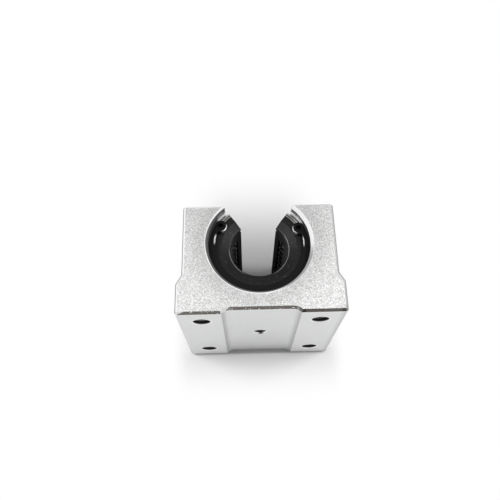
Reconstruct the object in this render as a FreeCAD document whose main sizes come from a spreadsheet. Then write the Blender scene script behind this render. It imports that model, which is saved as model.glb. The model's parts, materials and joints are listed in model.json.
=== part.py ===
import FreeCAD, Part
import math
import os
import Sketcher

# Open linear bearing block: a slotted ball bearing insert for a shaft on a support rail, held in an
# aluminium housing by two circlips. The origin lies on the shaft axis at mid-length. Z runs along the
# shaft, the mounting face looks along -Y and the slot for the rail opens along +Y.

# Driving sizes in millimetres and degrees
SIZES = {
    # Housing outline
    "block_width": 45.0,
    "block_length": 45.0,
    "body_width": 42.0,
    "axis_height": 20.0,
    "open_height": 11.5,
    "flange_height": 8.4,
    "shoulder_rise": 2.5,
    "corner_radius": 0.8,
    "shoulder_radius": 1.0,
    "open_corner_radius": 0.85,
    "recess_width": 20.8,
    "recess_floor_width": 16.2,
    "recess_depth": 1.0,
    "edge_break": 0.7,
    "mouth_chamfer": 0.85,
    "tip_flat": 1.1,
    # Housing holes: core is the drilled diameter, mouth the countersunk one
    "bolt_spacing_across": 32.0,
    "bolt_spacing_along": 30.0,
    "bolt_core": 4.2,
    "bolt_mouth": 5.0,
    "bolt_depth": 12.0,
    "centre_core": 3.0,
    "centre_mouth": 4.4,
    "side_core": 5.0,
    "side_mouth": 6.0,
    "side_depth": 5.0,
    "oil_passage": 2.5,
    # Bearing insert from the shaft outwards
    "shaft_diameter": 16.0,
    "lip_gap": 0.05,
    "ball_gap": 0.06,
    "cage_gap": 0.08,
    "ball_diameter": 3.175,
    "ball_spacing_gap": 0.275,
    "row_web": 1.46,
    "window_width": 2.6,
    "window_run": 1.2,
    "track_gap": 0.05,
    "race_gap": 0.01,
    "race_depth": 0.3,
    "land_width": 2.6,
    "land_gap": 0.2,
    "cage_fit": 0.05,
    "sleeve_wall": 1.66,
    "seat_fit": 0.02,
    # Bearing insert around the axis: the angles start at the wall of the slot
    "slot_angle": 76.0,
    "near_row_angle": 19.0,
    "row_step_angle": 64.0,
    # Bearing insert along the axis
    "end_inset": 4.0,
    "turn_gap": 0.4,
    "cage_end_wall": 0.9,
    "sleeve_chamfer": 0.5,
    "ring_groove_inset": 5.25,
    "ring_groove_width": 1.6,
    "ring_groove_depth": 0.5,
    # End seals
    "seal_seat_depth": 2.0,
    "seal_seat_step": 0.23,
    "seal_fit": 0.03,
    "seal_sink": 0.1,
    "seal_back_gap": 0.05,
    "seal_rim_width": 1.9,
    "seal_dish_depth": 0.9,
    "seal_lip_reach": 0.4,
    "seal_lip_slope": 0.15,
    "seal_lip_land": 0.5,
    # Snap rings of the cage
    "snap_ring_thickness": 0.8,
    "snap_ring_width": 1.9,
    "snap_groove_depth": 0.8,
    "snap_play": 0.05,
    "snap_end_angle": 3.0,
    # Circlips
    "clip_thickness": 1.2,
    "clip_groove_depth": 0.7,
    "clip_play": 0.05,
    "clip_back_width": 3.2,
    "clip_front_width": 1.7,
    "clip_lug_angle": 24.0,
    "clip_lug_radius": 1.8,
    "clip_eye_diameter": 1.7,
    "clip_eye_inset": 2.25,
    "clip_turn": 2.9,
    "clip_blend_radius": 0.25,
    "clip_edge_radius": 0.15,
}

# Sizes that follow from the driving ones
WORKED = {
    "half_width": "block_width / 2",
    "half_length": "block_length / 2",
    "body_half": "body_width / 2",
    "shoulder_foot": "axis_height - flange_height",
    "shoulder_top": "shoulder_foot - shoulder_rise",
    "recess_half": "recess_width / 2",
    "recess_floor_half": "recess_floor_width / 2",
    "recess_floor": "axis_height - recess_depth",
    "bolt_half_across": "bolt_spacing_across / 2",
    "bolt_half_along": "bolt_spacing_along / 2",
    "bolt_radius": "bolt_core / 2",
    "centre_radius": "centre_core / 2",
    "side_radius": "side_core / 2",
    "oil_radius": "oil_passage / 2",
    # Rings of the insert
    "shaft_radius": "shaft_diameter / 2",
    "lip_radius": "shaft_radius + lip_gap",
    "cage_inner": "shaft_radius + cage_gap",
    "ball_radius": "ball_diameter / 2",
    "ball_pitch": "ball_diameter + ball_spacing_gap",
    "loaded_radius": "shaft_radius + ball_gap + ball_radius",
    "row_spacing": "ball_diameter + row_web",
    "turn_radius": "row_spacing / 2",
    "window_half": "window_width / 2",
    "return_radius": "sqrt(loaded_radius ^ 2 + row_spacing ^ 2)",
    "track_radius": "ball_radius + track_gap",
    "race_radius": "ball_radius + race_gap",
    "sleeve_inner": "return_radius + track_radius",
    "cage_outer": "sleeve_inner - cage_fit",
    "insert_radius": "sleeve_inner + sleeve_wall",
    "seat_radius": "insert_radius + seat_fit",
    "mouth_radius": "seat_radius + mouth_chamfer",
    "tip_foot": "open_height - tip_flat",
    "tip_half": "sqrt(seat_radius ^ 2 - tip_foot ^ 2)",
    # Raceway lands of the sleeve and their channels in the cage
    "land_half": "land_width / 2",
    "land_face": "loaded_radius + race_radius - race_depth",
    "land_root": "sleeve_inner + sleeve_wall / 2",
    "channel_half": "land_half + land_gap",
    "channel_floor": "land_face - land_gap",
    # Angles from +Y
    "near_row": "slot_angle / 2 + near_row_angle",
    "far_row": "near_row + row_step_angle",
    "snap_end": "slot_angle / 2 + snap_end_angle",
    "lug_angle": "slot_angle / 2 + clip_lug_angle",
    "wedge_top": "4 * insert_radius",
    "slot_across": "2 * insert_radius * sin(slot_angle / 2)",
    "slot_up": "2 * insert_radius * cos(slot_angle / 2)",
    "snap_across": "2 * insert_radius * sin(snap_end)",
    "snap_up": "2 * insert_radius * cos(snap_end)",
    "lug_across": "2 * insert_radius * sin(lug_angle)",
    "lug_up": "2 * insert_radius * cos(lug_angle)",
    # Stations along the axis, from mid-length
    "insert_half": "half_length - end_inset",
    "insert_length": "2 * insert_half",
    "mouth_foot": "half_length - mouth_chamfer",
    "clip_groove_top": "insert_half + clip_thickness + 2 * clip_play",
    "clip_face": "insert_half + clip_play",
    "sleeve_break": "insert_half - sleeve_chamfer",
    "ring_groove_top": "insert_half - ring_groove_inset",
    "ring_groove_foot": "ring_groove_top - ring_groove_width",
    "seal_seat_foot": "insert_half - seal_seat_depth",
    "snap_top": "seal_seat_foot - snap_play",
    "snap_foot": "snap_top - snap_ring_thickness",
    "snap_groove_foot": "snap_foot - snap_play",
    "cage_half": "snap_groove_foot",
    "row_half": "cage_half - cage_end_wall - track_radius - turn_radius",
    "row_length": "2 * row_half",
    "window_length": "row_length + 2 * window_run",
    "cage_length": "2 * cage_half",
    # Sleeve and seal radii
    "sleeve_break_radius": "insert_radius - sleeve_chamfer",
    "ring_groove_radius": "insert_radius - ring_groove_depth",
    "seal_seat_radius": "sleeve_inner + seal_seat_step",
    "snap_groove_radius": "sleeve_inner + snap_groove_depth",
    "snap_outer": "snap_groove_radius - snap_play",
    "snap_inner": "snap_outer - snap_ring_width",
    "seal_outer": "seal_seat_radius - seal_fit",
    "seal_rim_inner": "seal_outer - seal_rim_width",
    "seal_dish_inner": "lip_radius + seal_lip_reach",
    "seal_face": "insert_half - seal_sink",
    "seal_dish": "seal_face - seal_dish_depth",
    "seal_lip_top": "seal_dish - seal_lip_slope",
    "seal_lip_foot": "seal_lip_top - seal_lip_land",
    "seal_back": "seal_seat_foot + seal_back_gap",
    # Circlip outline
    "clip_groove_radius": "seat_radius + clip_groove_depth",
    "clip_outer": "clip_groove_radius - clip_play",
    "clip_inner": "clip_outer - (clip_back_width + clip_front_width) / 2",
    "clip_offset": "(clip_back_width - clip_front_width) / 2",
    "clip_eye_radius": "clip_eye_diameter / 2",
    "clip_eye_across": "(clip_outer - clip_eye_inset) * sin(lug_angle)",
    "clip_eye_up": "(clip_outer - clip_eye_inset) * cos(lug_angle)",
}

doc = FreeCAD.newDocument("LinearBearingBlock")
sheet = doc.addObject("Spreadsheet::Sheet", "Sizes")
row = 1
for name, number in SIZES.items():
    sheet.set("A%d" % row, name)
    sheet.set("B%d" % row, str(number))
    sheet.setAlias("B%d" % row, name)
    row += 1
for name, formula in WORKED.items():
    sheet.set("A%d" % row, name)
    sheet.set("B%d" % row, "=" + formula)
    sheet.setAlias("B%d" % row, name)
    row += 1
doc.recompute()


def value(name):
    """Number behind a sheet name, which may carry a minus sign."""
    if name == "0":
        return 0.0
    number = float(sheet.get(name.lstrip("-")))
    return -number if name.startswith("-") else number


def link(name):
    """Expression for a sheet name, which may carry a minus sign."""
    if name.startswith("-"):
        return "-Sizes." + name[1:]
    return "Sizes." + name


def origin_plane(body, role):
    return [item for item in body.Origin.OriginFeatures if item.Role == role][0]


def new_body(label):
    body = doc.addObject("PartDesign::Body", label)
    body.Label = label
    return body


def sketch_on(body, role, name, lift="0", turn="0"):
    """Sketch on an origin plane, lifted along its normal and turned from +Y towards +X."""
    sketch = body.newObject("Sketcher::SketchObject", name)
    sketch.AttachmentSupport = [(origin_plane(body, role), "")]
    sketch.MapMode = "FlatFace"
    clockwise = FreeCAD.Rotation(FreeCAD.Vector(0, 0, -1), value(turn))
    sketch.AttachmentOffset = FreeCAD.Placement(FreeCAD.Vector(0, 0, value(lift)), clockwise)
    if lift != "0":
        sketch.setExpression("AttachmentOffset.Base.z", link(lift))
    if turn != "0":
        sketch.setExpression("AttachmentOffset.Rotation.Angle", link(turn))
    return sketch


def pin(sketch, item, point, across, up):
    """Hold a point of the sketch at named distances from the sketch origin."""
    for kind, axis, name in (("DistanceX", -2, across), ("DistanceY", -1, up)):
        if name == "0":
            sketch.addConstraint(Sketcher.Constraint("PointOnObject", item, point, axis))
        else:
            index = sketch.addConstraint(Sketcher.Constraint(kind, -1, 1, item, point, value(name)))
            sketch.setExpression("Constraints[%d]" % index, link(name))


def outline(sketch, corners):
    """Closed run of straight lines through named corners."""
    places = [FreeCAD.Vector(value(across), value(up), 0) for across, up in corners]
    first = sketch.GeometryCount
    count = len(places)
    for index in range(count):
        sketch.addGeometry(Part.LineSegment(places[index], places[(index + 1) % count]))
    for index in range(count):
        following = first + (index + 1) % count
        sketch.addConstraint(Sketcher.Constraint("Coincident", first + index, 2, following, 1))
    for index, (across, up) in enumerate(corners):
        pin(sketch, first + index, 1, across, up)


def circle(sketch, across, up, radius):
    centre = FreeCAD.Vector(value(across), value(up), 0)
    item = sketch.addGeometry(Part.Circle(centre, FreeCAD.Vector(0, 0, 1), value(radius)))
    if across == "0" and up == "0":
        sketch.addConstraint(Sketcher.Constraint("Coincident", item, 3, -1, 1))
    else:
        pin(sketch, item, 3, across, up)
    index = sketch.addConstraint(Sketcher.Constraint("Radius", item, value(radius)))
    sketch.setExpression("Constraints[%d]" % index, link(radius))


def round_bottomed(sketch, middle):
    """U-shaped ball track section: round towards the shaft, open away from it."""
    centre = value(middle)
    reach = value("track_radius")
    level = value("loaded_radius")
    top = value("insert_radius")
    corners = [
        FreeCAD.Vector(centre - reach, top, 0),
        FreeCAD.Vector(centre - reach, level, 0),
        FreeCAD.Vector(centre + reach, level, 0),
        FreeCAD.Vector(centre + reach, top, 0),
    ]
    lowest = FreeCAD.Vector(centre, level - reach, 0)
    left = sketch.addGeometry(Part.LineSegment(corners[1], corners[0]))
    bottom = sketch.addGeometry(Part.Arc(corners[1], lowest, corners[2]))
    right = sketch.addGeometry(Part.LineSegment(corners[2], corners[3]))
    lid = sketch.addGeometry(Part.LineSegment(corners[0], corners[3]))
    for side, end in ((left, 1), (right, 2)):
        sketch.addConstraint(Sketcher.Constraint("Coincident", bottom, end, side, 1))
        sketch.addConstraint(Sketcher.Constraint("Coincident", lid, end, side, 2))
        sketch.addConstraint(Sketcher.Constraint("Vertical", side))
        for point, name in ((1, "loaded_radius"), (2, "insert_radius")):
            index = sketch.addConstraint(Sketcher.Constraint("DistanceY", -1, 1, side, point, value(name)))
            sketch.setExpression("Constraints[%d]" % index, link(name))
    pin(sketch, bottom, 3, middle, "loaded_radius")
    index = sketch.addConstraint(Sketcher.Constraint("Radius", bottom, reach))
    sketch.setExpression("Constraints[%d]" % index, link("track_radius"))


def coved(sketch):
    """Recess section: a flat floor that runs out to the mounting face in two hollow curves."""
    level = -value("recess_floor")
    face = -value("axis_height")
    floor_ends = [FreeCAD.Vector(side * value("recess_floor_half"), level, 0) for side in (-1, 1)]
    face_ends = [FreeCAD.Vector(side * value("recess_half"), face, 0) for side in (-1, 1)]
    floor = sketch.addGeometry(Part.LineSegment(floor_ends[0], floor_ends[1]))
    mouth = sketch.addGeometry(Part.LineSegment(face_ends[0], face_ends[1]))
    for end, sign in ((1, "-"), (2, "")):
        pin(sketch, floor, end, sign + "recess_floor_half", "-recess_floor")
        pin(sketch, mouth, end, sign + "recess_half", "-axis_height")
    reach = value("recess_half") - value("recess_floor_half")
    radius = (reach ** 2 + value("recess_depth") ** 2) / (2 * value("recess_depth"))
    swept = math.asin(reach / radius)
    for end, side in ((1, -1), (2, 1)):
        centre = FreeCAD.Vector(floor_ends[end - 1].x, level - radius, 0)
        half = FreeCAD.Vector(side * math.sin(swept / 2), math.cos(swept / 2), 0) * radius
        cove = sketch.addGeometry(Part.Arc(floor_ends[end - 1], centre + half, face_ends[end - 1]))
        floor_point = 1 if sketch.getPoint(cove, 1).distanceToPoint(floor_ends[end - 1]) < 1e-6 else 2
        sketch.addConstraint(Sketcher.Constraint("Coincident", cove, floor_point, floor, end))
        sketch.addConstraint(Sketcher.Constraint("Coincident", cove, 3 - floor_point, mouth, end))
        sketch.addConstraint(Sketcher.Constraint("Vertical", cove, 3, floor, end))


def wedge(sketch, across, up):
    """Gap that opens along +Y between two planes through the axis."""
    outline(sketch, [
        ("0", "0"),
        (across, up),
        (across, "wedge_top"),
        ("-" + across, "wedge_top"),
        ("-" + across, up),
    ])


def feature(body, kind, name, sketch, settings=(), links=()):
    """Sketch-based feature that has to add or remove material."""
    before = body.Shape.Volume if body.Tip else 0.0
    item = body.newObject("PartDesign::" + kind, name)
    item.Profile = sketch
    doc.recompute()
    for key, setting in settings:
        setattr(item, key, setting)
    for key, sheet_name in links:
        item.setExpression(key, link(sheet_name))
    doc.recompute()
    change = body.Shape.Volume - before
    if kind in ("Pad", "Revolution"):
        changed = change > 0
    else:
        changed = change < 0
    if not changed:
        raise RuntimeError("%s of %s changes nothing" % (name, body.Label))
    return item


SYMMETRIC = [("SideType", "Symmetric")]
THROUGH = [("SideType", "Symmetric"), ("Type", "ThroughAll")]


def turned(body, kind, name, corners):
    """Full turn about the shaft axis of a section given by radius and station."""
    sketch = sketch_on(body, "XZ_Plane", name + "Section")
    outline(sketch, corners)
    return feature(body, kind, name, sketch, [("ReferenceAxis", (sketch, ["V_Axis"])), ("Angle", 360.0)])


def mirrored(body, name, originals):
    item = body.newObject("PartDesign::Mirrored", name)
    item.Originals = originals
    item.MirrorPlane = (origin_plane(body, "YZ_Plane"), [""])
    body.Tip = item
    doc.recompute()
    return item


def both_ends(corners):
    """Corners of the upper half, foot to end, followed up from the lower half's mirror image."""
    lower = [(radius, "-" + station) for radius, station in reversed(corners)]
    return lower + corners


def slot(body, name):
    sketch = sketch_on(body, "XY_Plane", name + "Section")
    wedge(sketch, "slot_across", "slot_up")
    return feature(body, "Pocket", name, sketch, THROUGH)


def upright_edges(shape, across, up):
    """Names of the edges along Z at a distance from the middle plane and a height."""
    names = []
    for index, edge in enumerate(shape.Edges):
        ends = [vertex.Point for vertex in edge.Vertexes]
        along = len(ends) == 2 and abs(ends[0].z - ends[1].z) > value("half_length")
        if along and abs(abs(ends[0].x) - across) < 1e-6 and abs(ends[0].y - up) < 1e-6:
            names.append("Edge%d" % (index + 1))
    return names


def edges_at(shape, *stations):
    """Names of the edges that lie wholly at one of these stations along the axis."""
    names = []
    for index, edge in enumerate(shape.Edges):
        for station in stations:
            if all(abs(vertex.Z - station) < 1e-6 for vertex in edge.Vertexes):
                names.append("Edge%d" % (index + 1))
    return names


def inner_corners(shape, outer):
    """Names of the edges along Z where two faces meet inside an outer radius."""
    names = []
    for index, edge in enumerate(shape.Edges):
        ends = [vertex.Point for vertex in edge.Vertexes]
        upright = len(ends) == 2 and abs(ends[0].x - ends[1].x) + abs(ends[0].y - ends[1].y) < 1e-6
        if upright and math.hypot(ends[0].x, ends[0].y) < outer - 1e-3:
            if len(shape.ancestorsOfType(edge, Part.Face)) == 2:
                names.append("Edge%d" % (index + 1))
    return names


def dress(body, kind, name, edges, size_property, sheet_name):
    item = body.newObject("PartDesign::" + kind, name)
    item.Base = (item.BaseFeature, edges)
    item.setExpression(size_property, link(sheet_name))
    doc.recompute()
    return item


def hole(body, name, sketch, core, mouth, depth, point):
    settings = [
        ("ThreadType", "None"),
        ("DepthType", "Dimension"),
        ("DrillPoint", point),
        ("HoleCutType", "Countersink"),
        ("HoleCutCountersinkAngle", 90.0),
    ]
    links = [("Diameter", core), ("Depth", depth), ("HoleCutDiameter", mouth)]
    return feature(body, "Hole", name, sketch, settings, links)


def make_housing():
    body = new_body("housing")
    section = sketch_on(body, "XY_Plane", "HousingSection")
    right_side = [
        ("half_width", "-axis_height"),
        ("half_width", "-shoulder_foot"),
        ("body_half", "-shoulder_top"),
        ("body_half", "open_height"),
    ]
    left_side = [("-" + across, up) for across, up in reversed(right_side)]
    outline(section, right_side + left_side)
    feature(body, "Pad", "Block", section, SYMMETRIC, [("Length", "block_length")])
    recess = sketch_on(body, "XY_Plane", "RecessSection")
    coved(recess)
    feature(body, "Pocket", "Recess", recess, THROUGH)

    # Edges are rounded before the bore opens the block
    corners = upright_edges(body.Shape, value("half_width"), -value("axis_height"))
    dress(body, "Fillet", "MountingCorners", corners, "Radius", "corner_radius")
    shoulders = upright_edges(body.Shape, value("half_width"), -value("shoulder_foot"))
    shoulders += upright_edges(body.Shape, value("body_half"), -value("shoulder_top"))
    dress(body, "Fillet", "Shoulders", shoulders, "Radius", "shoulder_radius")
    corners = upright_edges(body.Shape, value("body_half"), value("open_height"))
    dress(body, "Fillet", "OpenCorners", corners, "Radius", "open_corner_radius")
    end_edges = edges_at(body.Shape, value("half_length"), -value("half_length"))
    dress(body, "Chamfer", "EndEdges", end_edges, "Size", "edge_break")

    # Seat of the insert with its circlip grooves and chamfered mouths
    upper = [
        ("seat_radius", "insert_half"),
        ("clip_groove_radius", "insert_half"),
        ("clip_groove_radius", "clip_groove_top"),
        ("seat_radius", "clip_groove_top"),
        ("seat_radius", "mouth_foot"),
        ("mouth_radius", "half_length"),
        ("0", "half_length"),
    ]
    turned(body, "Groove", "Bore", both_ends(upper))
    opening = sketch_on(body, "XY_Plane", "OpeningSection")
    outline(opening, [
        ("-tip_half", "tip_foot"),
        ("tip_half", "tip_foot"),
        ("tip_half", "open_height"),
        ("-tip_half", "open_height"),
    ])
    feature(body, "Pocket", "Opening", opening, THROUGH)

    bolts = sketch_on(body, "XZ_Plane", "BoltCentres", lift="axis_height")
    for across in ("-bolt_half_across", "bolt_half_across"):
        for along in ("-bolt_half_along", "bolt_half_along"):
            circle(bolts, across, along, "bolt_radius")
    hole(body, "BoltHoles", bolts, "bolt_core", "bolt_mouth", "bolt_depth", "Angled")
    centre = sketch_on(body, "XZ_Plane", "CentreHoleCentre", lift="recess_floor")
    circle(centre, "0", "0", "centre_radius")
    hole(body, "CentreHole", centre, "centre_core", "centre_mouth", "recess_floor", "Flat")
    side = sketch_on(body, "YZ_Plane", "SideHoleCentre", lift="body_half")
    circle(side, "0", "0", "side_radius")
    tapped = hole(body, "SideHole", side, "side_core", "side_mouth", "side_depth", "Angled")
    oil = sketch_on(body, "YZ_Plane", "OilPassageCentre", lift="body_half")
    circle(oil, "0", "0", "oil_radius")
    passage = feature(body, "Pocket", "OilPassage", oil, [], [("Length", "body_half")])
    mirrored(body, "SideHoles", [tapped, passage])
    return body


def make_sleeve():
    body = new_body("bearing_sleeve")
    upper = [
        ("sleeve_inner", "snap_groove_foot"),
        ("snap_groove_radius", "snap_groove_foot"),
        ("snap_groove_radius", "seal_seat_foot"),
        ("seal_seat_radius", "seal_seat_foot"),
        ("seal_seat_radius", "insert_half"),
        ("sleeve_break_radius", "insert_half"),
        ("insert_radius", "sleeve_break"),
        ("insert_radius", "ring_groove_top"),
        ("ring_groove_radius", "ring_groove_top"),
        ("ring_groove_radius", "ring_groove_foot"),
        ("insert_radius", "ring_groove_foot"),
    ]
    lower = [(radius, "-" + station) for radius, station in reversed(upper)]
    turned(body, "Revolution", "Tube", upper + lower)
    lands = []
    for name, angle in (("Near", "near_row"), ("Far", "far_row")):
        sketch = sketch_on(body, "XY_Plane", name + "LandSection", turn=angle)
        outline(sketch, [
            ("-land_half", "land_face"),
            ("land_half", "land_face"),
            ("land_half", "land_root"),
            ("-land_half", "land_root"),
        ])
        lands.append(feature(body, "Pad", name + "Land", sketch, SYMMETRIC, [("Length", "row_length")]))
        sketch = sketch_on(body, "XY_Plane", name + "RaceSection", turn=angle)
        circle(sketch, "0", "loaded_radius", "race_radius")
        lands.append(feature(body, "Pocket", name + "Race", sketch, SYMMETRIC, [("Length", "row_length")]))
    mirrored(body, "Lands", lands)
    slot(body, "Slot")
    return body


def make_cage():
    body = new_body("ball_cage")
    turned(body, "Revolution", "Ring", [
        ("cage_inner", "-cage_half"),
        ("cage_outer", "-cage_half"),
        ("cage_outer", "cage_half"),
        ("cage_inner", "cage_half"),
    ])
    slot(body, "Slot")
    cuts = []
    for name, angle in (("Near", "near_row"), ("Far", "far_row")):
        rows = sketch_on(body, "XY_Plane", name + "RowSections", turn=angle)
        round_bottomed(rows, "0")
        round_bottomed(rows, "row_spacing")
        cuts.append(feature(body, "Pocket", name + "Rows", rows, SYMMETRIC, [("Length", "row_length")]))
        for end, lift, backwards in (("Upper", "row_half", False), ("Lower", "-row_half", True)):
            sketch = sketch_on(body, "XY_Plane", name + end + "TurnSection", lift=lift, turn=angle)
            foot = FreeCAD.Vector(value("turn_radius"), 0, 0)
            tip = FreeCAD.Vector(value("turn_radius"), value("insert_radius"), 0)
            axis = sketch.addGeometry(Part.LineSegment(foot, tip), True)
            pin(sketch, axis, 1, "turn_radius", "0")
            pin(sketch, axis, 2, "turn_radius", "insert_radius")
            round_bottomed(sketch, "0")
            settings = [
                ("ReferenceAxis", (sketch, ["Axis0"])),
                ("Angle", 180.0),
                ("Reversed", backwards),
            ]
            cuts.append(feature(body, "Groove", name + end + "Turn", sketch, settings))
        sketch = sketch_on(body, "XY_Plane", name + "WindowSection", turn=angle)
        outline(sketch, [
            ("-window_half", "0"),
            ("window_half", "0"),
            ("window_half", "loaded_radius"),
            ("-window_half", "loaded_radius"),
        ])
        window = feature(body, "Pocket", name + "Window", sketch, SYMMETRIC, [("Length", "window_length")])
        cuts.append(window)
        sketch = sketch_on(body, "XY_Plane", name + "ChannelSection", turn=angle)
        outline(sketch, [
            ("-channel_half", "channel_floor"),
            ("channel_half", "channel_floor"),
            ("channel_half", "insert_radius"),
            ("-channel_half", "insert_radius"),
        ])
        cuts.append(feature(body, "Pocket", name + "Channel", sketch, THROUGH))
    mirrored(body, "Tracks", cuts)
    return body


def make_seal(label):
    body = new_body(label)
    turned(body, "Revolution", "Ring", [
        ("lip_radius", "seal_lip_foot"),
        ("seal_dish_inner", "seal_back"),
        ("seal_outer", "seal_back"),
        ("seal_outer", "seal_face"),
        ("seal_rim_inner", "seal_face"),
        ("seal_dish_inner", "seal_dish"),
        ("lip_radius", "seal_lip_top"),
    ])
    slot(body, "Slot")
    return body


def make_snap_ring(label):
    body = new_body(label)
    turned(body, "Revolution", "Ring", [
        ("snap_inner", "snap_foot"),
        ("snap_outer", "snap_foot"),
        ("snap_outer", "snap_top"),
        ("snap_inner", "snap_top"),
    ])
    gap = sketch_on(body, "XY_Plane", "GapSection")
    wedge(gap, "snap_across", "snap_up")
    feature(body, "Pocket", "Gap", gap, THROUGH)
    return body


def make_circlip(label):
    body = new_body(label)
    ring = sketch_on(body, "XY_Plane", "RingSection", lift="clip_face")
    circle(ring, "0", "0", "clip_outer")
    circle(ring, "0", "clip_offset", "clip_inner")
    feature(body, "Pad", "Ring", ring, [], [("Length", "clip_thickness")])
    gap = sketch_on(body, "XY_Plane", "GapSection")
    wedge(gap, "lug_across", "lug_up")
    feature(body, "Pocket", "Gap", gap, THROUGH)
    lugs = sketch_on(body, "XY_Plane", "LugSection", lift="clip_face")
    circle(lugs, "-clip_eye_across", "clip_eye_up", "clip_lug_radius")
    circle(lugs, "clip_eye_across", "clip_eye_up", "clip_lug_radius")
    feature(body, "Pad", "Lugs", lugs, [], [("Length", "clip_thickness")])
    eyes = sketch_on(body, "XY_Plane", "EyeSection")
    circle(eyes, "-clip_eye_across", "clip_eye_up", "clip_eye_radius")
    circle(eyes, "clip_eye_across", "clip_eye_up", "clip_eye_radius")
    feature(body, "Pocket", "Eyes", eyes, THROUGH)
    blends = inner_corners(body.Shape, value("clip_outer"))
    dress(body, "Fillet", "LugBlends", blends, "Radius", "clip_blend_radius")
    rolled = edges_at(body.Shape, value("clip_face") + value("clip_thickness"))
    dress(body, "Fillet", "RolledEdge", rolled, "Radius", "clip_edge_radius")
    return body


def make_ball_row(label, angle, side, offset, turns):
    """Loose balls of one straight row of a track, with one ball in each turn where it has them."""
    count = 1 + math.floor((value("row_length") - value("turn_gap")) / value("ball_pitch"))
    places = [(value(offset), (index - (count - 1) / 2) * value("ball_pitch")) for index in range(count)]
    if turns:
        turn_station = value("row_half") + value("turn_radius")
        places += [(value("turn_radius"), turn_station), (value("turn_radius"), -turn_station)]
    turn = math.radians(value(angle))
    balls = []
    for along, station in places:
        across = along * math.cos(turn) + value("loaded_radius") * math.sin(turn)
        up = value("loaded_radius") * math.cos(turn) - along * math.sin(turn)
        balls.append(Part.makeSphere(value("ball_radius"), FreeCAD.Vector(side * across, up, station)))
    item = doc.addObject("Part::Feature", label)
    item.Label = label
    item.Shape = Part.makeCompound(balls)
    item.Placement = FreeCAD.Placement()
    return item


# The pieces of the lower end are the upper ones turned over about Y
turned_over = FreeCAD.Placement(FreeCAD.Vector(0, 0, 0), FreeCAD.Rotation(FreeCAD.Vector(0, 1, 0), 180.0))

pieces = [make_housing(), make_sleeve(), make_cage()]
for track in ("near", "far"):
    for hand, side in (("right", 1), ("left", -1)):
        place = "%s_%s" % (track, hand)
        pieces.append(make_ball_row("loaded_balls_" + place, track + "_row", side, "0", False))
        pieces.append(make_ball_row("return_balls_" + place, track + "_row", side, "row_spacing", True))
for make, name in ((make_snap_ring, "snap_ring"), (make_seal, "seal"), (make_circlip, "circlip")):
    upper_piece = make("upper_" + name)
    lower_piece = make("lower_" + name)
    lower_piece.Placement = turned_over
    pieces += [upper_piece, lower_piece]

# The upper circlip has crept round a little in its groove
upper_clip = doc.getObject("upper_circlip")
crept = FreeCAD.Rotation(FreeCAD.Vector(0, 0, -1), value("clip_turn"))
upper_clip.Placement = FreeCAD.Placement(FreeCAD.Vector(0, 0, 0), crept)
upper_clip.setExpression("Placement.Rotation.Angle", link("clip_turn"))
doc.recompute()

for item in doc.Objects:
    if "Invalid" in item.State or "Error" in item.State:
        raise RuntimeError("%s is %s" % (item.Label, item.State))
os.makedirs("parts", exist_ok=True)
for piece in pieces:
    if piece.Shape.isNull() or not piece.Shape.isValid():
        raise RuntimeError("%s has no valid shape" % piece.Label)
    piece.Shape.exportStep("parts/%s.step" % piece.Label)
    print(piece.Label, len(piece.Shape.Solids), round(piece.Shape.Volume, 1))
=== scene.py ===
"""Dresses the open bearing block: threads in its tapped holes, and a finish for every piece."""

import json
import math

import bpy
from mathutils import Matrix, Vector


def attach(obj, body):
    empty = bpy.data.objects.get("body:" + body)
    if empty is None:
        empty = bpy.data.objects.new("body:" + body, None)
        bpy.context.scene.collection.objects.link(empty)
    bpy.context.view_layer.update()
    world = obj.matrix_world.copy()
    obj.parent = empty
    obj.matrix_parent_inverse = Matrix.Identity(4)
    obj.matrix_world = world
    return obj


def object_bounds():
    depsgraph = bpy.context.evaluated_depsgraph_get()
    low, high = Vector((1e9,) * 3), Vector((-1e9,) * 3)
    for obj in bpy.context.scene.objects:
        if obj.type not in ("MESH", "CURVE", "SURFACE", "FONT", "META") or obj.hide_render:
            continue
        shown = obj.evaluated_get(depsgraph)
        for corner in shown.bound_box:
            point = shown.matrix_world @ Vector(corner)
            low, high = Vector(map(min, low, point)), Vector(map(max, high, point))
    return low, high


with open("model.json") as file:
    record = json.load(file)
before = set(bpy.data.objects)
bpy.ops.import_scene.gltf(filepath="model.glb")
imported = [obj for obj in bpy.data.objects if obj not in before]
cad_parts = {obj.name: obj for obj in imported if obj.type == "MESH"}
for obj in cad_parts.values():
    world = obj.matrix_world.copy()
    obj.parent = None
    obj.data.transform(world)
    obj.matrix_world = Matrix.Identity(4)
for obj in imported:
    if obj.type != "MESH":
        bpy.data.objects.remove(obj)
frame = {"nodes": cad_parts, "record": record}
cad_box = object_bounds()
scene = bpy.context.scene

MM = 0.001
SIDES = ((-1, "left"), (1, "right"))


# Shader sockets that can be added, multiplied and compared

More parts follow.
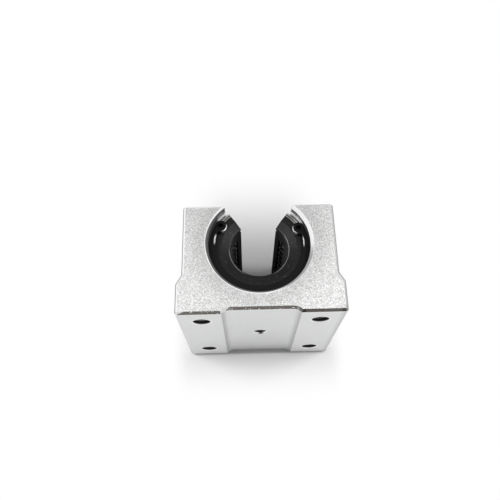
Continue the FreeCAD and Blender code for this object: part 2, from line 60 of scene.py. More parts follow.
class Socket:
    """An output of a shader node, for use in plain sums."""

    def __init__(self, finish, output):
        self.finish = finish
        self.output = output

    def sum(self, operation, first, second=0.0):
        """What a sum of one or two terms comes to."""
        return self.finish.node("ShaderNodeMath", {"operation": operation}, {0: first, 1: second})

    def __add__(self, other):
        return self.sum("ADD", self, other)

    def __radd__(self, other):
        return self.sum("ADD", other, self)

    def __sub__(self, other):
        return self.sum("SUBTRACT", self, other)

    def __rsub__(self, other):
        return self.sum("SUBTRACT", other, self)

    def __mul__(self, other):
        return self.sum("MULTIPLY", self, other)

    def __rmul__(self, other):
        return self.sum("MULTIPLY", other, self)

    def __truediv__(self, other):
        return self.sum("DIVIDE", self, other)

    def __rtruediv__(self, other):
        return self.sum("DIVIDE", other, self)

    def __pow__(self, other):
        return self.sum("POWER", self, other)

    def __rpow__(self, other):
        return self.sum("POWER", other, self)

    def __abs__(self):
        return self.sum("ABSOLUTE", self)

    def above(self, start, full):
        """0 up to the start, 1 from full on, and a soft step between them."""
        return self.finish.node(
            "ShaderNodeMapRange", {"interpolation_type": "SMOOTHSTEP"}, {"Value": self, 1: start, 2: full}
        )

    def below(self, full, end):
        """1 up to full, 0 from the end on, and a soft step between them."""
        return 1.0 - self.above(full, end)


class Finish:
    """A node tree that is built up node by node."""

    def __init__(self, owner):
        owner.use_nodes = True
        self.owner = owner
        self.tree = owner.node_tree
        self.tree.nodes.clear()

    def node(self, kind, settings=None, inputs=None, output=0):
        """The output of a new node, or the node itself where it has none."""
        made = self.tree.nodes.new(kind)
        for name, setting in (settings or {}).items():
            setattr(made, name, setting)
        for name, value in (inputs or {}).items():
            if isinstance(value, Socket):
                self.tree.links.new(value.output, made.inputs[name])
            else:
                made.inputs[name].default_value = value
        return Socket(self, made.outputs[output]) if made.outputs else made

    def place(self):
        """The point on the piece, in millimetres."""
        point = self.node("ShaderNodeTexCoord", output="Object")
        return self.node("ShaderNodeVectorMath", {"operation": "SCALE"}, {0: point, "Scale": 1.0 / MM})

    def facing(self):
        """The way the surface faces."""
        return self.node("ShaderNodeNewGeometry", output="True Normal")

    def shown(self):
        """1 where the eye, a reflection or a clear piece looks, 0 where light only gathers."""
        eye = self.node("ShaderNodeLightPath", output="Is Camera Ray")
        path = eye.output.node.outputs
        return eye + Socket(self, path["Is Glossy Ray"]) + Socket(self, path["Is Transmission Ray"])

    def split(self, vector):
        """The three parts of a vector."""
        first = self.node("ShaderNodeSeparateXYZ", inputs={0: vector})
        return [Socket(self, output) for output in first.output.node.outputs]

    def join(self, x, y, z):
        """A vector from its three parts."""
        return self.node("ShaderNodeCombineXYZ", inputs={0: x, 1: y, 2: z})

    def noise(self, where, scale=1.0, detail=2.0, roughness=0.5):
        """Soft noise, with so many waves to the millimetre."""
        return self.node(
            "ShaderNodeTexNoise", None,
            {"Vector": where, "Scale": scale, "Detail": detail, "Roughness": roughness},
        )

    def mix(self, factor, first, second):
        """A colour between two others."""
        return self.node("ShaderNodeMix", {"data_type": "RGBA"}, {0: factor, 6: first, 7: second}, 2)

    def bump(self, height, strength):
        """A normal that follows a height in millimetres."""
        return self.node("ShaderNodeBump", None, {"Strength": strength, "Distance": MM, "Height": height})

    def skin(self, **inputs):
        """The surface itself, with its sockets given by name."""
        named = {name.replace("_", " "): value for name, value in inputs.items()}
        surface = self.node("ShaderNodeBsdfPrincipled", inputs=named)
        self.node("ShaderNodeOutputMaterial", inputs={"Surface": surface})
        return self.owner


def grey(level, warmth=0.0):
    """A grey, a little warmer or cooler than neutral."""
    return (level * (1.0 + warmth), level, level * (1.0 - warmth), 1.0)


# Places and sizes on the block, in millimetres from the shaft axis and the middle of its length

LOW, HIGH = ([round(length / MM, 3) for length in corner] for corner in cad_box)
SIDE = HIGH[0]
FOOT = LOW[1]
BACK = HIGH[1]
END_FACE = HIGH[2]

# Housing: the edge bevels, the recess, the sides, the bore and the cores of the holes
EDGE_BREAK = 0.7
RECESS_EDGE = 10.4
FLANK = 21.0
MOUTH_EDGE = 14.95
SEAT_EDGE = 14.02
GROOVE_EDGE = 19.8
BOLT_ACROSS = 16.0
BOLT_ALONG = 15.0
BOLT_CORE = 2.1
CENTRE_CORE = 1.5
SIDE_CORE = 2.5

# Sleeve, upper circlip and seals
SLEEVE_END = 18.5
SLEEVE_RIM = 12.57
SLEEVE_SKIN = 13.0
CLIP_INNER = 12.22
CLIP_MIDDLE = (0.0, 0.75)
CLIP_SLOPE = 0.05
UPPER_LUGS = ((-10.66, 6.38), (11.25, 5.27))
SEAL_LIP = 8.27


class Spot:
    """A point on a piece, in millimetres."""

    def __init__(self, finish):
        self.place = finish.place()
        self.x, self.y, self.z = finish.split(self.place)
        self.radius = (self.x * self.x + self.y * self.y) ** 0.5


class HousingSpot(Spot):
    """A point on the housing, its depths under the mounting face and an end, and the way it faces."""

    def __init__(self, finish):
        super().__init__(finish)
        self.foot = self.y - FOOT
        self.depth = END_FACE - abs(self.z)
        self.across, self.along, self.up = finish.split(finish.facing())


# Holes of the housing, dark with painted shade and with painted highlights on their rims, with soft steps
# from a wall, from the mounting face or across the block

BOLT_WALL = (0.25, 0.35)
BOLT_MOUTH = (0.1, 0.2)
BOLT_FLOOR = (13.5, 14.0)
BOLT_RIM = (0.3, 0.4)
BOLT_RIM_END = (0.55, 0.8)
BOLT_RIM_DEPTH = (0.4, 0.5)
SIDE_WALL = (0.1, 0.2)
SIDE_MOUTH = (FLANK - 0.5, FLANK - 0.3)
THREAD_CREST = (-0.1, -0.02)
CENTRE_WALL = (0.05, 0.15)
CENTRE_RIM = (0.15, 0.35)
CENTRE_FLOOR = (19.0, 20.0)
SINK_EDGE = (0.75, 0.85)
SINK_MOUTH = (1.01, 1.06)
SINK_FLOOR = (2.0, 2.5)
SINK_SHADE_PLACE = 0.3
SINK_SHADE_WIDTH = (0.1, 1.0)
SINK_SHADE_LEVEL = (-0.8, -0.2)


def hole_masks(at):
    """Masks of the holes' walls in painted shade, their threads' crests, their rims with painted highlights,
    and the deepest painted shade in the centre hole.
    """
    bolt = ((abs(at.x) - BOLT_ACROSS) ** 2.0 + (abs(at.z) - BOLT_ALONG) ** 2.0) ** 0.5 - BOLT_CORE
    centre = (at.x * at.x + at.z * at.z) ** 0.5 - CENTRE_CORE
    side = (at.y * at.y + at.z * at.z) ** 0.5 - SIDE_CORE
    bolts = bolt.below(*BOLT_WALL) * at.foot.above(*BOLT_MOUTH) * at.foot.below(*BOLT_FLOOR)
    sides = side.below(*SIDE_WALL) * abs(at.x).below(*SIDE_MOUTH)
    crest = bolts * bolt.below(*THREAD_CREST) + sides * side.below(*THREAD_CREST)
    # painted highlight round the mouths of the bolt holes
    rim_highlight = bolt.above(*BOLT_RIM) * bolt.below(*BOLT_RIM_END) * at.foot.below(*BOLT_RIM_DEPTH)
    sunk = centre.above(*CENTRE_WALL) * centre.below(*SINK_EDGE)
    sunk = sunk * at.foot.above(*SINK_MOUTH) * at.foot.below(*SINK_FLOOR)
    # the countersink's outer part takes a painted highlight, its inner part painted shade
    rim = centre.above(*CENTRE_RIM)
    # painted shade in a narrow streak down the lower part of the centre hole's countersink
    sink_shade = sunk * rim * abs(at.x - SINK_SHADE_PLACE).below(*SINK_SHADE_WIDTH) * at.z.below(*SINK_SHADE_LEVEL)
    pit = centre.below(*CENTRE_WALL) * at.foot.below(*CENTRE_FLOOR)
    pit = pit + 0.9 * sunk * (1.0 - rim) + 0.7 * sink_shade
    return bolts + sides + pit, crest, sunk * rim + rim_highlight, pit


# Cut edges of the housing, with their chips, painted shade and painted highlights, with soft steps by place,
# by depth or by facing

FRONT_REACH = (1.2, 2.0)
RIGHT_PART = (6.0, 12.0)
LEFT_PART = (-12.0, -6.0)
CHIPPED = (0.58, 0.66)
PAD_TIP = -22.3
PAD_TAPER = 2.2
COVE_TAPER = 2.5
COVE_START = (-RECESS_EDGE - 0.3, -RECESS_EDGE - 0.1)
TAPERED = (0.9, 1.2)
RIGHT_CORNER_SHADE = (20.2, 22.2)
LEFT_CORNER_SHADE = (21.4, 22.2)
HOLLOW_SHADE = (8.8, 10.3)
HOLLOW_SHADE_END = (10.35, 10.5)
TOP_HIGHLIGHT = (END_FACE - 1.3, END_FACE - 0.9)
OUTLINE_SHADE = (0.5 * EDGE_BREAK, 0.7 * EDGE_BREAK)
COVE_STRIP_SHADE = (9.4, 9.8)
COVE_STRIP_SHADE_END = (11.2, 11.6)
PAD_STRIP_SHADE = (20.6, 21.2)
FACING_FRONT = (0.90, 0.97)
LEANING_FRONT = (0.20, 0.40)
FACING_SIDE = (0.45, 0.60)


def chips_and_painted_light(finish, at, front):
    """Mask of bright chips in the cut edges, and of painted highlights where the mounting face's edge strips
    taper off.
    """
    chip_and_highlight = finish.noise(at.place, scale=1.3, detail=3.0, roughness=0.7) - 0.06 * (1.0 - front)
    chip_and_highlight = chip_and_highlight - 0.12 * at.x.above(*RIGHT_PART) + 0.015 * at.x.below(*LEFT_PART)
    chip_and_highlight = chip_and_highlight.above(*CHIPPED)
    # painted highlight: the upper side of the edge strips is bright at their left ends, tapering off to the
    # right
    down = at.depth / EDGE_BREAK
    pad_highlight = (down + (at.x - PAD_TIP) / PAD_TAPER).below(*TAPERED)
    cove_highlight = (down + (at.x + RECESS_EDGE) / COVE_TAPER).below(*TAPERED) * at.x.above(*COVE_START)
    return chip_and_highlight + (pad_highlight + cove_highlight) * front * (1.0 - chip_and_highlight)


def front_painted_light(finish, at, colour, edge, front):
    """Painted shade on the corners, coves and edge strips of the mounting face and along the side bevels,
    and a painted highlight along its top.
    """
    ahead = 0.0 - at.along
    # painted shade on the mounting face's corners, heavier on the right, and in its coves
    corner = at.x.above(*RIGHT_CORNER_SHADE) + 0.3 * (0.0 - at.x).above(*LEFT_CORNER_SHADE)
    hollow_shade = abs(at.x).above(*HOLLOW_SHADE) * abs(at.x).below(*HOLLOW_SHADE_END)
    for shaded in (corner, hollow_shade):
        colour = finish.mix(0.35 * shaded * front, colour, grey(0.20))
    # painted highlight along the top of the mounting face, just under its edge
    top_highlight = ahead.above(*FACING_FRONT) * at.z.above(*TOP_HIGHLIGHT)
    colour = finish.mix(0.6 * top_highlight, colour, grey(0.97))
    # painted shade along the deeper part of the side bevels
    outline_shade = edge * abs(at.across).above(*FACING_SIDE) * at.depth.above(*OUTLINE_SHADE)
    colour = finish.mix(outline_shade, colour, grey(0.30))
    # painted shade on the edge strips at the right cove and the right pad
    dark = at.x.above(*COVE_STRIP_SHADE) * at.x.below(*COVE_STRIP_SHADE_END)
    dark = dark + 0.8 * at.x.above(*PAD_STRIP_SHADE) * ahead.above(*LEANING_FRONT)
    return finish.mix(edge * dark * front, colour, grey(0.16, 0.03))


# Bore rim of the housing, whose bright band is narrowed on the left and towards the front by painted shade

RIM = (SEAT_EDGE + 0.18, SEAT_EDGE + 0.34)
RIM_SHADE_LEAN = 0.020
RIM_SHADE_LEAN_MORE = 0.014
RIM_UPPER_PART = (-6.0, 2.0)
RIM_SHADE_DROP = 0.016
ARC_SHADE_WAY = (0.8, -0.6)
ARC_SHADE = (0.80, 0.95)
UPPER_HALF = (0.0, 1.0)


def cut_rim(at):
    """Mask of the bright rim, as against the dark turned face, in painted shade, inside it; painted shade
    narrows the rim on the left and towards the front.
    """
    # painted shade: the rim's bright band is thinner on the left and towards the front
    shade_lean = RIM_SHADE_LEAN + RIM_SHADE_LEAN_MORE * at.y.above(*RIM_UPPER_PART)
    return (at.radius + at.x * shade_lean + at.y * RIM_SHADE_DROP).above(*RIM)


def shaded_arc(at):
    """Mask of the arc of the upper rim that gets painted shade."""
    return ((at.x * ARC_SHADE_WAY[0] + at.y * ARC_SHADE_WAY[1]) / at.radius).above(*ARC_SHADE) * at.z.above(*UPPER_HALF)


# Faces of the housing, with soft steps by facing, by radius or down from an end face, and for the painted
# shade round and in the bore

END_SQUARE = (0.93, 0.97)
BEVEL_SQUARE = (0.45, 0.60)
BORE_SQUARE = (0.80, 0.90)
BLAST_DEPTH = (0.1, 0.3)
BEVEL_DEPTH = (0.9, 1.0)
MOUTH = (MOUTH_EDGE - 0.05, MOUTH_EDGE)
BORE_SHADE_RING = (16.0, 21.0)
GROOVE_LESS_SHADE = (GROOVE_EDGE + 0.14, GROOVE_EDGE + 0.24)

# Pairs of tones between which the housing's textures run; the turned, edge and hole tones hold painted shade
BLASTED = (grey(0.33, 0.004), grey(0.90, 0.002))
DRAWN = (grey(0.68, -0.005), grey(0.81, -0.003))
TURNED_IN_SHADE = (grey(0.03), grey(0.15))
CUT = (grey(0.94), grey(1.0))
EDGE_TONES_RIGHT_SHADED = (grey(0.80), grey(0.54, 0.02))
HOLE_SHADE_TONES = (grey(0.036, 0.05), grey(0.38, 0.02))


def sandblasted_aluminium():
    """Blasted and anodised block: grainy ends, smooth drawn sides, chipped edges, bright bore rim; painted
    shade in the bore, the holes, round the bore and on the right of the edges, and painted highlights on the
    edges and hole rims.
    """
    finish = Finish(bpy.data.materials.new("sandblasted aluminium"))
    at = HousingSpot(finish)
    square = abs(at.up)
    end = square.above(*END_SQUARE) * at.depth.below(*BLAST_DEPTH)
    bevel = square.above(*BEVEL_SQUARE) * at.depth.below(*BEVEL_DEPTH) * (1.0 - end)
    inside = at.radius.below(*MOUTH)
    mouth = bevel * inside * cut_rim(at)
    edge = bevel * (1.0 - inside)
    flank = inside * square.above(*END_SQUARE)
    inward = 0.0 - (at.across * at.x + at.along * at.y) / at.radius
    bore = inside * (inward.above(*BORE_SQUARE) + bevel - mouth)
    front = at.foot.below(*FRONT_REACH)
    chip_and_highlight = chips_and_painted_light(finish, at, front)
    hole, crest, bright, pit = hole_masks(at)

    coarse = finish.noise(at.place, scale=4.2, roughness=0.7)
    fine = finish.noise(at.place, scale=8.0, roughness=0.6)
    cloud = finish.noise(at.place, scale=0.09)
    drawn = finish.noise(finish.join(at.x * 5.0, at.y * 5.0, at.z * 0.08), detail=3.0)
    turned = finish.noise(finish.join(at.radius * 2.0, at.z * 9.0, 0.0))
    stripes = finish.noise(finish.join(at.radius, at.z * 2.2, 0.0), detail=1.0).above(0.40, 0.60)
    grain = (coarse * 0.75 + fine * 0.25).above(0.32, 0.68)

    smooth = finish.mix(drawn * 0.6 + cloud * 0.4, *DRAWN)
    # painted shade: the blasted end is darker round the bore
    blasted = finish.mix(0.14 * at.radius.below(*BORE_SHADE_RING), finish.mix(grain, *BLASTED), grey(0.0))
    # painted shade: the turned bore wall is dark, and less dark inside the circlip groove
    lathe_in_shade = finish.mix(turned * 0.3 + stripes * 0.7, *TURNED_IN_SHADE)
    lathe_in_shade = finish.mix(abs(at.z).below(*GROOVE_LESS_SHADE), lathe_in_shade, grey(0.42))
    cut = finish.mix(turned, *CUT)
    # painted shade: the edge tone is darker on the right
    edge_painted_light = finish.mix(at.x.above(*RIGHT_PART), *EDGE_TONES_RIGHT_SHADED)
    colour = finish.mix(end, smooth, blasted)
    colour = finish.mix(bore, colour, lathe_in_shade)
    colour = finish.mix(flank, colour, cut)
    colour = finish.mix(edge, colour, finish.mix(chip_and_highlight, edge_painted_light, grey(0.92)))
    colour = front_painted_light(finish, at, colour, edge, front)
    # painted shade dims the bright rim towards the right front
    colour = finish.mix(mouth, colour, finish.mix(0.75 * shaded_arc(at), cut, grey(0.22)))
    # painted highlights on the hole rims
    colour = finish.mix(bright, colour, grey(0.96))
    # painted shade in the holes, lighter on the threads' crests
    colour = finish.mix(hole, colour, finish.mix(crest, *HOLE_SHADE_TONES))
    # deepest painted shade in the centre hole
    colour = finish.mix(pit, colour, grey(0.004))

    rough = 0.40 + 0.08 * drawn + end * (0.06 + 0.10 * coarse - 0.08 * drawn)
    rough = rough - bore * 0.10 + hole * 0.2 - edge * (0.24 - 0.2 * chip_and_highlight)
    metal = 1.0 - mouth * 0.72 - flank - edge * chip_and_highlight * 0.5 - bright * 0.6 - bore * 0.6
    height = end * grain * 0.03 + (1.0 - end) * (drawn * 0.002 + fine * 0.001) + bore * turned * 0.003
    return finish.skin(
        Base_Color=colour, Metallic=metal, Roughness=rough, Normal=finish.bump(height, strength=0.6)
    )


# Sleeve, with soft steps on its rim, and for its painted shade round the lugs' eyes and under the oil
# passages

END_BAND = (SLEEVE_RIM + 0.18, SLEEVE_RIM + 0.28)
END_BAND_END = (SLEEVE_RIM + 0.52, SLEEVE_RIM + 0.62)
END_BAND_LEVEL = (SLEEVE_END - 0.2, SLEEVE_END - 0.1)
EYE_SHADE = (1.0, 1.4)
EYE_LEVEL = (SLEEVE_END - 1.5, SLEEVE_END - 0.5)
PASSAGE_SHADE_AREA = (2.0, 4.0)
OUTER_SKIN = (SLEEVE_SKIN, SLEEVE_SKIN + 0.2)


def away_from(at, point):
    """How far a spot lies from a point, seen along the shaft."""
    return ((at.x - point[0]) ** 2.0 + (at.y - point[1]) ** 2.0) ** 0.5


def bearing_steel():
    """Ground steel with fine lines round the axis, a trace of oil, a darker band on its end, and painted
    shade under the lugs' eyes and under the oil passages.
    """
    finish = Finish(bpy.data.materials.new("bearing steel"))
    at = Spot(finish)
    lines = finish.noise(finish.join(at.radius * 6.0, at.z * 11.0, 0.0), detail=3.0)
    stain = finish.noise(at.place, scale=0.35, detail=3.0, roughness=0.6).above(0.35, 0.8)
    colour = finish.mix(lines, grey(0.46, 0.01), grey(0.66, 0.01))
    colour = finish.mix(stain * 0.4, colour, grey(0.40, 0.04))
    end_band = at.radius.above(*END_BAND) * at.radius.below(*END_BAND_END)
    # a darker band across the sleeve's end face
    colour = finish.mix(end_band * abs(at.z).above(*END_BAND_LEVEL), colour, grey(0.10, 0.01))
    for lug in UPPER_LUGS:
        shade = away_from(at, lug).below(*EYE_SHADE) * at.z.above(*EYE_LEVEL)
        colour = finish.mix(shade, colour, grey(0.02))
    # painted shade on the sleeve where it shows at the bottom of the oil passages
    passage_shade = (at.z * at.z + at.y * at.y).below(*PASSAGE_SHADE_AREA) + (at.z * at.z + at.x * at.x).below(*PASSAGE_SHADE_AREA)
    colour = finish.mix(passage_shade * at.radius.above(*OUTER_SKIN), colour, grey(0.03, 0.05))
    return finish.skin(
        Base_Color=colour, Metallic=1.0, Roughness=0.22 + 0.16 * lines + 0.10 * stain,
        Normal=finish.bump(lines * 0.002, strength=0.4),
    )


# Circlips, with soft steps for painted highlights on the inner edge, along the arms and round the lugs' eyes

CLIP_EDGE = (CLIP_INNER + 0.25, CLIP_INNER + 0.40)
ARM = (-0.2, 1.8)
ARM_END = (1.6, 3.6)
ROLLED = (0.15, 0.3)
CRESCENT = (1.50, 1.62)
CRESCENT_END = (1.9, 2.0)
CRESCENT_INWARD = (0.55, 0.95)


def crescent_highlight(at, lug):
    """Mask of the painted highlight in a crescent on the inner side of a lug."""
    away = away_from(at, lug)
    reach = math.hypot(*lug)
    inward = ((lug[0] - at.x) * (lug[0] / reach) + (lug[1] - at.y) * (lug[1] / reach)) / away
    return away.above(*CRESCENT) * away.below(*CRESCENT_END) * inward.above(*CRESCENT_INWARD)


def black_spring_steel():
    """Stamped spring steel, blacked and oiled, with painted highlights on its rolled inner edge and round
    its lugs.
    """
    finish = Finish(bpy.data.materials.new("black spring steel"))
    at = Spot(finish)
    up = finish.split(finish.facing())[2]
    grain = finish.noise(at.place, scale=5.0, detail=3.0, roughness=0.6)
    edge = away_from(at, CLIP_MIDDLE).below(*CLIP_EDGE) * abs(up).above(*ROLLED)
    level = at.y + at.x * CLIP_SLOPE
    # painted highlights on the rolled inner edge of the arms and round the lugs
    edge_painted_light = 1.5 * edge * level.above(*ARM) * level.below(*ARM_END)
    for lug in UPPER_LUGS:
        edge_painted_light = edge_painted_light + 0.8 * crescent_highlight(at, lug)
    colour = finish.mix(grain, grey(0.003), grey(0.010, 0.02))
    colour = finish.mix(edge_painted_light, colour, grey(0.80, 0.01))
    return finish.skin(
        Base_Color=colour, Metallic=edge_painted_light, Roughness=0.34 + 0.16 * grain - 0.12 * edge_painted_light,
        Specular_IOR_Level=0.10, Normal=finish.bump(grain * 0.006, strength=0.5),
    )


# Balls, cage and seals

RIGHT_SHADE_SIDE = (0.0, 2.0)
LIP = (SEAL_LIP, SEAL_LIP + 0.07)
LIP_END = (SEAL_LIP + 0.13, SEAL_LIP + 0.23)
LIP_SIDES = (0.35, 0.7)
LIP_SLOPE = 0.25
LIP_TOP = (0.5, 3.5)


def polished_steel():
    """Lapped balls under a smear of grease, with painted shade on the balls on the right."""
    finish = Finish(bpy.data.materials.new("polished steel"))
    place = finish.place()
    smear = finish.noise(place, scale=1.4, detail=3.0, roughness=0.6)
    right_shade = finish.split(place)[0].above(*RIGHT_SHADE_SIDE)
    colour = finish.mix(smear, grey(0.34, 0.01), grey(0.60))
    # painted shade darkens the balls on the right
    colour = finish.mix(0.6 * right_shade, colour, grey(0.03))
    return finish.skin(
        Base_Color=colour, Metallic=1.0, Roughness=0.04 + 0.08 * smear.above(0.45, 0.8),
        Specular_Tint=grey(0.6), Normal=finish.bump(smear * 0.001, strength=0.2),
    )


def black_nylon():
    """Moulded black nylon, faintly pebbled."""
    finish = Finish(bpy.data.materials.new("black nylon"))
    place = finish.place()
    pebble = finish.noise(place, scale=4.0)
    flow = finish.noise(place, scale=0.5, detail=3.0)
    colour = finish.mix(flow, grey(0.032), grey(0.042))
    return finish.skin(
        Base_Color=colour, Roughness=0.42 + 0.16 * pebble, Specular_IOR_Level=0.025,
        Normal=finish.bump(pebble * 0.006, strength=0.5),
    )


def black_rubber():
    """Moulded black rubber with a dry bloom, a few specks of dust and a polished lip, with a painted
    highlight along the lip's sides.
    """
    finish = Finish(bpy.data.materials.new("black rubber"))
    at = Spot(finish)
    skin = finish.noise(at.place, scale=6.0)
    bloom = finish.noise(at.place, scale=0.6, detail=3.0, roughness=0.6)
    dust = finish.noise(at.place, scale=2.6, detail=1.0).above(0.72, 0.77)
    rings = finish.noise(finish.join(at.radius * 3.0, 0.0, 0.0), detail=1.0)
    lip = at.radius.above(*LIP) * at.radius.below(*LIP_END)
    # painted highlight along the lip, at its sides only
    pale = lip * (abs(at.x) / at.radius).above(*LIP_SIDES) * (at.y - at.x * LIP_SLOPE).below(*LIP_TOP)
    colour = finish.mix(bloom * 0.6 + rings * 0.4, grey(0.002), grey(0.012))
    colour = finish.mix(dust, colour, grey(0.20))
    colour = finish.mix(pale, colour, grey(0.26))
    return finish.skin(
        Base_Color=colour, Roughness=0.40 + 0.12 * skin - 0.14 * lip, Specular_IOR_Level=0.22,
        Normal=finish.bump(skin * 0.006 + bloom * 0.02 + rings * 0.02, strength=0.6),
    )


FINISHES = {
    "sandblasted_aluminium": sandblasted_aluminium(),
    "bearing_steel": bearing_steel(),
    "black_spring_steel": black_spring_steel(),
    "polished_steel": polished_steel(),
    "black_nylon": black_nylon(),
    "black_rubber": black_rubber(),
}
for subpart in frame["record"]["subparts"]:
    for holder in frame["nodes"][subpart["node"]].material_slots:
        holder.material = FINISHES[subpart["material_slot"]]


# Threads in the tapped holes, with their sizes in millimetres

STEPS_PER_TURN = 28
RIDGE_CORNERS = 4
BOLT_THREAD_START = 0.5
BOLT_THREAD_RADIUS = BOLT_CORE + 0.06
BOLT_PITCH = 0.8
BOLT_TURNS = 13.5
BOLT_RIDGE = 0.24
SIDE_THREAD_START = 0.8
SIDE_THREAD_RADIUS = SIDE_CORE + 0.07
SIDE_PITCH = 1.0
SIDE_TURNS = 3.7
SIDE_RIDGE = 0.28
QUARTER_TURN = math.pi / 2


def thread_tree():
    """Geometry nodes that run a thread's ridge into a hole at every point of a mesh."""
    tree = bpy.data.node_groups.new("thread", "GeometryNodeTree")
    sockets = {
        "Holes": "NodeSocketGeometry",
        "Radius": "NodeSocketFloat",
        "Turns": "NodeSocketFloat",
        "Length": "NodeSocketFloat",
        "Ridge": "NodeSocketFloat",
        "Heading": "NodeSocketVector",
        "Finish": "NodeSocketMaterial",
    }
    for name, kind in sockets.items():
        tree.interface.new_socket(name, in_out="INPUT", socket_type=kind)
    tree.interface.new_socket("Threads", in_out="OUTPUT", socket_type="NodeSocketGeometry")

    def node(kind, inputs, **settings):
        """A new node, with its inputs and settings by name."""
        made = tree.nodes.new(kind)
        for name, setting in settings.items():
            setattr(made, name, setting)
        for name, value in inputs.items():
            if isinstance(value, bpy.types.NodeSocket):
                tree.links.new(value, made.inputs[name])
            else:
                made.inputs[name].default_value = value
        return made

    given = tree.nodes.new("NodeGroupInput").outputs
    coil = node("GeometryNodeCurveSpiral", {
        "Resolution": STEPS_PER_TURN, "Rotations": given["Turns"], "Start Radius": given["Radius"],
        "End Radius": given["Radius"], "Height": given["Length"],
    })
    upright = node("GeometryNodeSetCurveNormal", {"Curve": coil.outputs[0]}, mode="Z_UP")
    tooth = node("GeometryNodeCurvePrimitiveCircle", {
        "Resolution": RIDGE_CORNERS, "Radius": given["Ridge"],
    })
    ridge = node("GeometryNodeCurveToMesh", {
        "Curve": upright.outputs[0], "Profile Curve": tooth.outputs[0], "Fill Caps": True,
    })
    placed = node("GeometryNodeInstanceOnPoints", {
        "Points": given["Holes"], "Instance": ridge.outputs[0], "Rotation": given["Heading"],
    })
    real = node("GeometryNodeRealizeInstances", {"Geometry": placed.outputs[0]})
    dressed = node("GeometryNodeSetMaterial", {"Geometry": real.outputs[0], "Material": given["Finish"]})
    out = tree.nodes.new("NodeGroupOutput")
    tree.links.new(dressed.outputs[0], out.inputs["Threads"])
    return tree


def add_threads(name, tree, mouths, **sizes):
    """The ridges of the threads whose mouths are given, as one plain mesh."""
    mesh = bpy.data.meshes.new(name)
    mesh.from_pydata([Vector(mouth) * MM for mouth in mouths], [], [])
    piece = bpy.data.objects.new(name, mesh)
    scene.collection.objects.link(piece)
    grow = piece.modifiers.new("thread", "NODES")
    grow.node_group = tree
    for item in tree.interface.items_tree:
        if item.in_out == "INPUT" and item.name in sizes:
            grow[item.identifier] = sizes[item.name]
    graph = bpy.context.evaluated_depsgraph_get()
    plain = bpy.data.meshes.new_from_object(piece.evaluated_get(graph))
    piece.modifiers.clear()
    piece.data = plain
    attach(piece, "root")


thread = thread_tree()
add_threads(
    "bolt_threads", thread,
    [
        (x, FOOT + BOLT_THREAD_START, z)
        for x in (-BOLT_ACROSS, BOLT_ACROSS) for z in (-BOLT_ALONG, BOLT_ALONG)
    ],
    Radius=BOLT_THREAD_RADIUS * MM, Turns=BOLT_TURNS, Length=BOLT_TURNS * BOLT_PITCH * MM,
    Ridge=BOLT_RIDGE * MM, Heading=(-QUARTER_TURN, 0.0, 0.0), Finish=FINISHES["sandblasted_aluminium"],
)
for side, label in reversed(SIDES):
    add_threads(
        "side_thread_" + label, thread, [(side * (FLANK - SIDE_THREAD_START), 0.0, 0.0)],
        Radius=SIDE_THREAD_RADIUS * MM, Turns=SIDE_TURNS, Length=SIDE_TURNS * SIDE_PITCH * MM,
        Ridge=SIDE_RIDGE * MM, Heading=(0.0, -side * QUARTER_TURN, 0.0),
        Finish=FINISHES["sandblasted_aluminium"],
    )


# Floor, with soft steps for a painted shadow round the block's outline and in its slot, in millimetres

UNDER_SHADOW_SIDE = (-2.0, -0.4)
UNDER_SHADOW_FRONT = (-0.3, 0.7)
UNDER_SHADOW_BACK = (-1.5, 0.5)
SLOT_SHADOW_SIDE = (8.0, 26.0)
SLOT_SHADOW_FRONT = (-12.0, -2.0)
SLOT_SHADOW_BACK = (-2.0, 40.0)
CONTACT_SHADE = 0.42

# Where the floor fades to white, and how fast it does so on each side of the block
FADE = (0.5, 16.0)
FADE_BESIDE = 2.5
FADE_BEFORE = 0.8
FADE_BEHIND = 0.18

# Half the width of the floor, in metres
FLOOR_HALF = 1.5


def pale_floor():
    """Matt white paper that the eye sees as white and the block sees as pale grey; where the eye or a
    reflection looks, a shadow is painted under the block and in and behind its slot.
    """
    finish = Finish(bpy.data.materials.new("pale floor"))
    seen = finish.shown()
    place = finish.place()
    x, y = finish.split(place)[:2]
    beside = abs(x) - SIDE
    before = FOOT - y
    behind = y - BACK
    # painted shadow under the block and in and behind its slot
    under = beside.below(*UNDER_SHADOW_SIDE) * before.below(*UNDER_SHADOW_FRONT) * behind.below(*UNDER_SHADOW_BACK)
    slot = abs(x).below(*SLOT_SHADOW_SIDE) * behind.above(*SLOT_SHADOW_FRONT) * behind.below(*SLOT_SHADOW_BACK)
    under = under + slot * (1.0 - under)
    ways = ((beside, FADE_BESIDE), (before, FADE_BEFORE), (behind, FADE_BEHIND))
    reach = [(way + abs(way)) * 0.5 * pace for way, pace in ways]
    far = ((reach[0] ** 2.0 + reach[1] ** 2.0 + reach[2] ** 2.0) ** 0.5).above(*FADE)
    fibre = finish.noise(place, scale=0.8, detail=3.0)
    paper = finish.mix(fibre, grey(0.84), grey(0.88))
    colour = finish.mix(seen, paper, finish.mix(under, grey(1.0), grey(CONTACT_SHADE)))
    return finish.skin(
        Base_Color=finish.mix(seen * far, colour, grey(0.0)), Roughness=0.9, Specular_IOR_Level=0.0,
        Emission_Color=finish.mix(seen * far, grey(0.0), grey(1.0)), Emission_Strength=1.0,
    )


def sheet_of(name, finish, corner, width, height):
    """One flat stage sheet, from a corner and its two edges in metres."""
    corner, width, height = (Vector(part) for part in (corner, width, height))
    mesh = bpy.data.meshes.new(name)
    mesh.from_pydata([corner, corner + width, corner + width + height, corner + height], [], [(0, 1, 2, 3)])
    mesh.materials.append(finish)
    sheet = bpy.data.objects.new(name, mesh)
    scene.collection.objects.link(sheet)
    return sheet


sheet_of(
    "floor", pale_floor(), corner=(-FLOOR_HALF, -FLOOR_HALF, cad_box[0][2]),
    width=(2 * FLOOR_HALF, 0.0, 0.0), height=(0.0, 2 * FLOOR_HALF, 0.0),
)


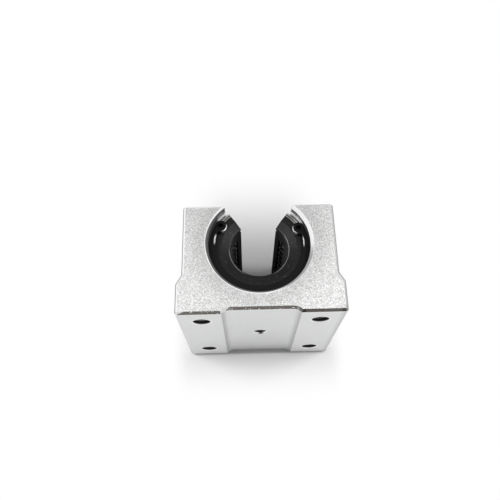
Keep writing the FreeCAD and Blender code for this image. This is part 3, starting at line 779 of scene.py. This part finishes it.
# Cards that only show as reflections

def card_finish(name, glow, warmth=0.0):
    """Evenly glowing card."""
    finish = Finish(bpy.data.materials.new(name))
    fibre = finish.noise(finish.place(), scale=0.02)
    lit = finish.mix(fibre, grey(0.9 * glow, warmth), grey(glow, warmth))
    return finish.skin(
        Base_Color=grey(0.0), Emission_Color=lit, Emission_Strength=1.0, Specular_IOR_Level=0.0
    )


def card(name, finish, **edges):
    """A card that the camera doesn't see, and that throws no shadow and no soft light."""
    sheet = sheet_of(name, finish, **edges)
    sheet.visible_camera = False
    sheet.visible_shadow = False
    sheet.visible_diffuse = False


card(
    "dark_card", card_finish("dark card", glow=0.10, warmth=0.12),
    corner=(-0.11, -0.30, 0.06), width=(0.22, 0.0, 0.0), height=(0.0, 0.0, 0.11),
)
card(
    "grey_flag", card_finish("grey flag", glow=0.12),
    corner=(-0.4, 0.30, 0.15), width=(0.8, 0.0, 0.0), height=(0.0, 0.0, 0.45),
)
card(
    "grey_ceiling", card_finish("grey ceiling", glow=0.30),
    corner=(-0.3, -0.35, 0.60), width=(0.6, 0.0, 0.0), height=(0.0, 0.35, 0.0),
)
bright_finish = card_finish("bright card", glow=1.5)
for side, label in SIDES:
    card(
        "bright_card_" + label, bright_finish,
        corner=(side * 0.35, 0.02, -0.02), width=(0.0, 0.28, 0.0), height=(0.0, 0.0, 0.14),
    )


# Even light all round, and a soft lamp on each side

ROOM_LIGHT = grey(0.54)
LAMP_ACROSS = 0.29
LAMP_BEHIND = 0.065
LAMP_UP = 0.50
LAMP_SIZE = 0.15
LAMP_POWER = 0.98

world = bpy.data.worlds.new("studio")
scene.world = world
air = Finish(world)
backdrop = air.node("ShaderNodeBackground", None, {
    "Color": air.mix(air.shown(), ROOM_LIGHT, grey(1.0)), "Strength": 1.0,
})
air.node("ShaderNodeOutputWorld", None, {"Surface": backdrop})


def soft_lamp(name, where):
    """A square soft light that faces the block."""
    lamp = bpy.data.lights.new(name, "AREA")
    lamp.size = LAMP_SIZE
    lamp.energy = LAMP_POWER
    holder = bpy.data.objects.new(name, lamp)
    holder.location = where
    holder.rotation_euler = (-Vector(where)).to_track_quat("-Z", "Y").to_euler()
    scene.collection.objects.link(holder)


for side, label in SIDES:
    soft_lamp(label + "_softbox", (side * LAMP_ACROSS, LAMP_BEHIND, LAMP_UP))


# Camera, placed in millimetres

EYE = (-4.06, -59.98, 151.19)
ELEVATION = math.radians(65.90)
AZIMUTH = math.radians(-1.45)
ROLL = math.radians(0.10)
SENSOR_WIDTH = 36.0
FOCAL_LENGTH = 37.67
NEAREST = 0.001


def camera_turn():
    """The way the camera is turned, from its elevation, azimuth and roll."""
    level = math.cos(ELEVATION)
    back = Vector((math.sin(AZIMUTH) * level, -math.cos(AZIMUTH) * level, math.sin(ELEVATION)))
    right = Vector((math.cos(AZIMUTH), math.sin(AZIMUTH), 0.0))
    rolled_right = right * math.cos(ROLL) + back.cross(right) * math.sin(ROLL)
    return Matrix((rolled_right, back.cross(rolled_right), back)).transposed().to_4x4()


lens = bpy.data.cameras.new("camera")
lens.sensor_width = SENSOR_WIDTH
lens.lens = FOCAL_LENGTH
lens.clip_start = NEAREST
camera = bpy.data.objects.new("camera", lens)
camera.matrix_world = Matrix.Translation(Vector(EYE) * MM) @ camera_turn()
scene.collection.objects.link(camera)
scene.camera = camera
scene.view_settings.view_transform = "Standard"
